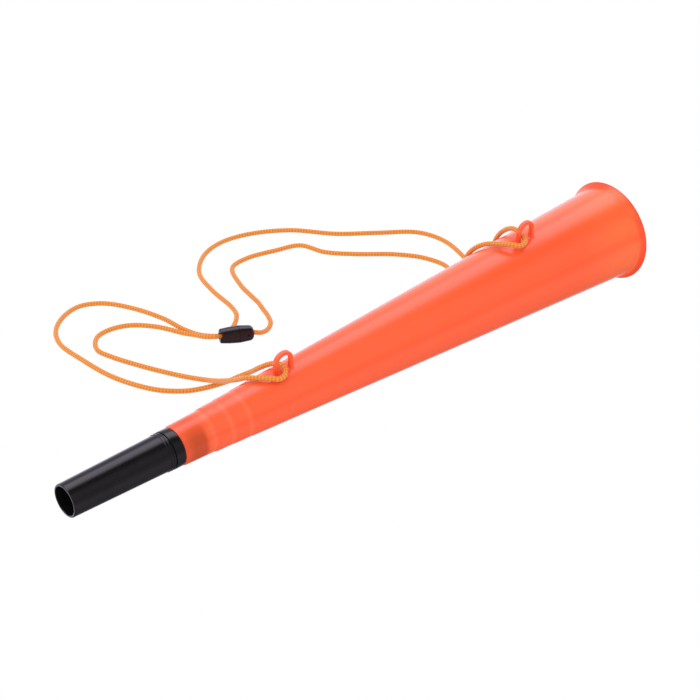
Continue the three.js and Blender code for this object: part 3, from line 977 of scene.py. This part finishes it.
def makeOrangePlastic():
    look = orangePlastic
    material, tree, shader = nodeMaterial("orangePlastic")
    coordinates = node(tree, "ShaderNodeTexCoord").outputs["Object"]
    place = {
        "Vector": coordinates,
        "Location": hornPlace.translation,
        "Rotation": hornPlace.to_euler(),
    }
    alongHorn = node(tree, "ShaderNodeMapping", place, vector_type="TEXTURE").outputs["Vector"]
    at, side, up = node(tree, "ShaderNodeSeparateXYZ", {"Vector": alongHorn}).outputs
    around = worked(tree, "ARCTAN2", side, up)
    across = node(tree, "ShaderNodeCombineXYZ", {"Y": side, "Z": up}).outputs["Vector"]
    radius = node(tree, "ShaderNodeVectorMath", {0: across}, operation="LENGTH").outputs["Value"]
    stretched = {
        "X": times(tree, at, look["flowAlong"]),
        "Y": times(tree, around, look["flowAround"]),
    }
    lines = node(tree, "ShaderNodeCombineXYZ", stretched).outputs["Vector"]
    color = blended(tree, noise(tree, lines, 1.0, 3.0), look["color"], look["deep"])
    color = bodyTones(tree, color, at, around, radius)
    color = lipTones(tree, color, at, around)
    color = stepTones(tree, color, at)
    color = spigotTone(tree, color, at, around)
    tree.links.new(color, shader.inputs["Base Color"])
    grain = noise(tree, coordinates, look["grainScale"], 4.0)
    cloud = noise(tree, coordinates, look["cloudScale"], 2.0)
    rough = stepped(tree, cloud, 0.0, 1.0, *look["roughness"])
    tree.links.new(rough, shader.inputs["Roughness"])
    grained = bumped(tree, grain, *look["grain"])
    tree.links.new(bumped(tree, cloud, *look["ripple"], grained), shader.inputs["Normal"])
    shader.inputs["IOR"].default_value = look["refraction"]
    through = node(tree, "ShaderNodeBsdfTranslucent", {"Color": color}).outputs["BSDF"]
    share = {"Fac": look["translucent"], 1: shader.outputs["BSDF"], 2: through}
    mixed = node(tree, "ShaderNodeMixShader", share).outputs["Shader"]
    tree.links.new(mixed, tree.nodes["Material Output"].inputs["Surface"])
    return material


blackPlastic = {
    "color": (0.0042, 0.0036, 0.0038),
    "roughness": (0.1, 0.21),
    "grainScale": 1500.0,
    "grain": 0.04,
}
claspPlastic = {
    "color": (0.01, 0.0054, 0.0052),
    "roughness": (0.08, 0.19),
    "grainScale": 900.0,
    "grain": 0.03,
}
reedPlastic = {
    "color": (0.75, 0.72, 0.64),
    "roughness": (0.45, 0.56),
    "grainScale": 1200.0,
    "grain": 0.05,
}
anyPlastic = {
    "cloudScale": 180,
    "lighter": 1.5,
    "lift": 0.0015,
    "grainDepth": 0.0002,
    "refraction": 1.5,
}


def makePlastic(name, look):
    material, tree, shader = nodeMaterial(name)
    coordinates = node(tree, "ShaderNodeTexCoord").outputs["Object"]
    grain = noise(tree, coordinates, look["grainScale"], 5)
    cloud = noise(tree, coordinates, anyPlastic["cloudScale"], 3)
    lighter = [value * anyPlastic["lighter"] + anyPlastic["lift"] for value in look["color"]]
    color = blended(tree, cloud, look["color"], lighter)
    tree.links.new(color, shader.inputs["Base Color"])
    low, high = look["roughness"]
    rough = node(tree, "ShaderNodeMapRange", {"Value": cloud, "To Min": low, "To Max": high})
    tree.links.new(rough.outputs["Result"], shader.inputs["Roughness"])
    grained = bumped(tree, grain, look["grain"], anyPlastic["grainDepth"])
    tree.links.new(grained, shader.inputs["Normal"])
    shader.inputs["IOR"].default_value = anyPlastic["refraction"]
    return material


cordFibre = {
    "crown": (0.88, 0.3, 0.038),
    "crownAt": 0.78,
    # Painted shade in the grooves of the weave.
    "grooveShade": (0.42, 0.12, 0.009),
    "grooveShadeAt": 0.3,
    "yarnScale": (2.2, 60, 1),
    "yarnNoise": 2.0,
    "yarnShare": 0.62,
    "yarnBump": (0.35, 0.0002),
    "roughness": 0.72,
    "sheen": 0.25,
    "sheenRoughness": 0.5,
    "specular": 0.25,
}


# Painted shade darkens the grooves of the weave; fine yarns along the cord vary its tone.
def makeCordFibre():
    look = cordFibre
    material, tree, shader = nodeMaterial("cordFibre")
    weave = node(tree, "ShaderNodeAttribute", attribute_name="weave").outputs["Fac"]
    height = node(tree, "ShaderNodeMapRange", {"Value": weave, "From Min": -1, "From Max": 1})
    lay = node(tree, "ShaderNodeUVMap", uv_map="lay").outputs["UV"]
    yarn = node(tree, "ShaderNodeMapping", {"Vector": lay, "Scale": look["yarnScale"]})
    threads = noise(tree, yarn.outputs["Vector"], look["yarnNoise"], 3)
    both = worked(tree, "ADD", height.outputs["Result"], threads)
    stops = [(look["grooveShadeAt"], look["grooveShade"]), (look["crownAt"], look["crown"])]
    color = ramp(tree, times(tree, both, look["yarnShare"]), stops)
    tree.links.new(color, shader.inputs["Base Color"])
    tree.links.new(bumped(tree, threads, *look["yarnBump"]), shader.inputs["Normal"])
    shader.inputs["Roughness"].default_value = look["roughness"]
    shader.inputs["Sheen Weight"].default_value = look["sheen"]
    shader.inputs["Sheen Roughness"].default_value = look["sheenRoughness"]
    shader.inputs["Specular IOR Level"].default_value = look["specular"]
    return material


def dress(material, *things):
    for thing in things:
        thing.data.materials.clear()
        thing.data.materials.append(material)


dress(makeOrangePlastic(), hornShell)
shallot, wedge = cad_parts["reed_shallot"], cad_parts["reed_wedge"]
dress(makePlastic("blackPlastic", blackPlastic), tube, holder, shallot, wedge)
dress(makePlastic("claspPlastic", claspPlastic), claspSocket, claspPlug)
dress(makePlastic("reedPlastic", reedPlastic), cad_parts["reed_tongue"])
dress(makeCordFibre(), longCord, farCord, *knots)
print("materials done")

# Light: a white studio. What shiny surfaces mirror is banded, as softboxes and flags make it.
# Each band has its turn in degrees from straight up and its level.
studio = {
    "ambient": 1.16,
    "shineColor": (1.02, 0.96, 1.14),
    "bands": [
        (-180, 0.13),
        (-157, 0.19),
        (-137, 0.3),
        (-117, 0.42),
        (-97, 0.27),
        (-77, 0.2),
        (-57, 0.28),
        (-40, 0.24),
        (-23, 0.05),
        (-9, 0.05),
        (-2, 0.5),
        (5, 1.5),
        (14, 2.2),
        (34, 2.3),
        (42, 1.2),
        (50, 0.65),
        (60, 0.5),
        (70, 0.5),
        (78, 0.7),
        (86, 1.05),
        (97, 1.4),
        (109, 1.6),
        (132, 1.2),
        (150, 0.5),
        (165, 0.15),
        (180, 0.13),
    ],
    "keyPlace": (-0.5, 0.1, 1.2),
    "keySize": 0.9,
    "keyPower": 2.5,
}


def makeStudio():
    world = bpy.data.worlds.new("studio")
    scene.world = world
    world.use_nodes = True
    tree = world.node_tree
    background = tree.nodes["Background"]
    direction = node(tree, "ShaderNodeTexCoord").outputs["Generated"]
    parts = node(tree, "ShaderNodeSeparateXYZ", {"Vector": direction}).outputs
    turn = worked(tree, "ARCTAN2", parts["Y"], parts["Z"])
    fullTurn = {"Value": turn, "From Min": -math.pi, "From Max": math.pi}
    share = node(tree, "ShaderNodeMapRange", fullTurn).outputs["Result"]
    brightest = max(level for angle, level in studio["bands"])
    stops = [((angle + 180) / 360, (level / brightest,) * 3) for angle, level in studio["bands"]]
    bands = times(tree, ramp(tree, share, stops), brightest)
    path = node(tree, "ShaderNodeLightPath").outputs
    white = (1, 1, 1)
    strength = mixedValue(tree, path["Is Glossy Ray"], studio["ambient"], bands)
    strength = mixedValue(tree, path["Is Camera Ray"], strength, 1.0)
    tree.links.new(strength, background.inputs["Strength"])
    color = blended(tree, path["Is Glossy Ray"], white, studio["shineColor"])
    color = blended(tree, path["Is Camera Ray"], color, white)
    tree.links.new(color, background.inputs["Color"])
    data = bpy.data.lights.new("key", "AREA")
    data.size = studio["keySize"]
    data.energy = studio["keyPower"]
    key = bpy.data.objects.new("key", data)
    scene.collection.objects.link(key)
    key.location = studio["keyPlace"]
    key.rotation_mode = "QUATERNION"
    key.rotation_quaternion = (-Vector(studio["keyPlace"])).to_track_quat("-Z", "Y")
    key.visible_glossy = False


makeStudio()
print("studio done")
